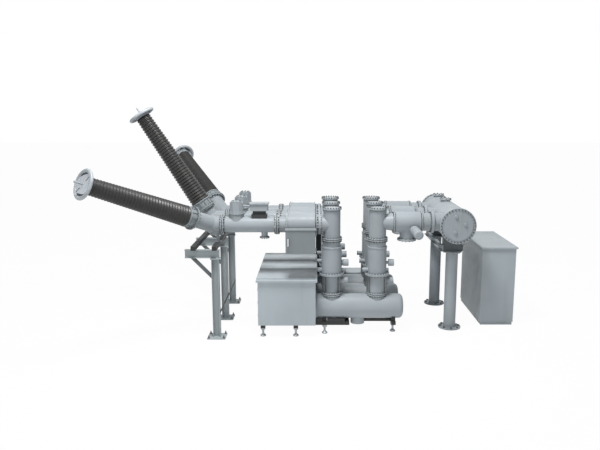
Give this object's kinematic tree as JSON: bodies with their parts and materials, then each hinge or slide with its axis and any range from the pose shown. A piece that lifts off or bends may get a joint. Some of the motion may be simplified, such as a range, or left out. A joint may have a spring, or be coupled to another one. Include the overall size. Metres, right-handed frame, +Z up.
{
  "type": "gas insulated breaker bay",
  "caption": "Outdoor gas insulated circuit breaker bay with dead tank poles, instrument towers, line isolators, fanned line bushings, a round busbar enclosure and cabinets.",
  "frame": {"origin": "on the ground at the middle of the bay's outline", "axes": "+X from the line bushings towards the busbar and control cabinet, -Y the front side with the hung cabinet, +Z up"},
  "size_m": [11.1393, 8.1304, 6.0784],
  "materials": {
    "enclosure_paint": "satin grey paint on cast and rolled enclosures",
    "cabinet_paint": "satin grey powder coat on sheet metal",
    "support_paint": "zinc grey paint on rolled sections",
    "frame_paint": "dark grey paint on the base frame",
    "insulator_glaze": "dark brown glazed sheds",
    "terminal_metal": "bare aluminium rings and terminals",
    "spacer_resin": "dark cast resin discs in the flange joints",
    "collar_metal": "grey painted flange castings"
  },
  "bodies": {
    "bay": {"base_rails": "frame_paint", "base_ties": "frame_paint", "breaker_tank_a": "enclosure_paint", "breaker_tank_b": "enclosure_paint", "breaker_tank_c": "enclosure_paint", "bus_column_far": "enclosure_paint", "bus_column_near": "enclosure_paint", "bus_isolator_a": "enclosure_paint", "bus_isolator_b": "enclosure_paint", "bus_isolator_c": "enclosure_paint", "bus_isolator_drive": "enclosure_paint", "bus_saddles": "frame_paint", "busbar_enclosure": "enclosure_paint", "busbar_end_covers": "enclosure_paint", "busbar_spools": "enclosure_paint", "bushing_collars": "collar_metal", "bushing_elbow_a": "enclosure_paint", "bushing_elbow_b": "enclosure_paint", "bushing_elbow_c": "enclosure_paint", "bushing_insulator_a": "insulator_glaze", "bushing_insulator_b": "insulator_glaze", "bushing_insulator_c": "insulator_glaze", "bushing_tops": "terminal_metal", "control_cabinet": "cabinet_paint", "control_cabinet_roof": "cabinet_paint", "current_transformers_a": "enclosure_paint", "current_transformers_b": "enclosure_paint", "current_transformers_c": "enclosure_paint", "earthing_drive": "enclosure_paint", "earthing_switches": "enclosure_paint", "flange_spacers": "spacer_resin", "levelling_feet": "support_paint", "line_isolator_a": "enclosure_paint", "line_isolator_b": "enclosure_paint", "line_isolator_c": "enclosure_paint", "line_tube_a": "enclosure_paint", "line_tube_b": "enclosure_paint", "line_tube_c": "enclosure_paint", "mechanism_cabinet": "cabinet_paint", "mechanism_cabinet_roof": "cabinet_paint", "rear_cabinet": "cabinet_paint", "rear_post": "frame_paint", "side_cabinet": "cabinet_paint", "support_brackets": "support_paint", "support_columns": "support_paint", "support_crossbeams": "frame_paint", "support_knee_braces": "support_paint", "support_ties": "frame_paint", "tank_saddles": "frame_paint", "tower_heads_a": "enclosure_paint", "tower_heads_b": "enclosure_paint", "tower_heads_c": "enclosure_paint"},
    "side_door": {"side_cabinet_door": "cabinet_paint"}
  },
  "joints": [
    {"name": "side_door_hinge", "type": "hinge", "parent": "bay", "child": "side_door", "pos_m": [-0.046, -1.887, 2.6], "axis": [0, 0, 1], "range_deg": [0, 110]}
  ]
}
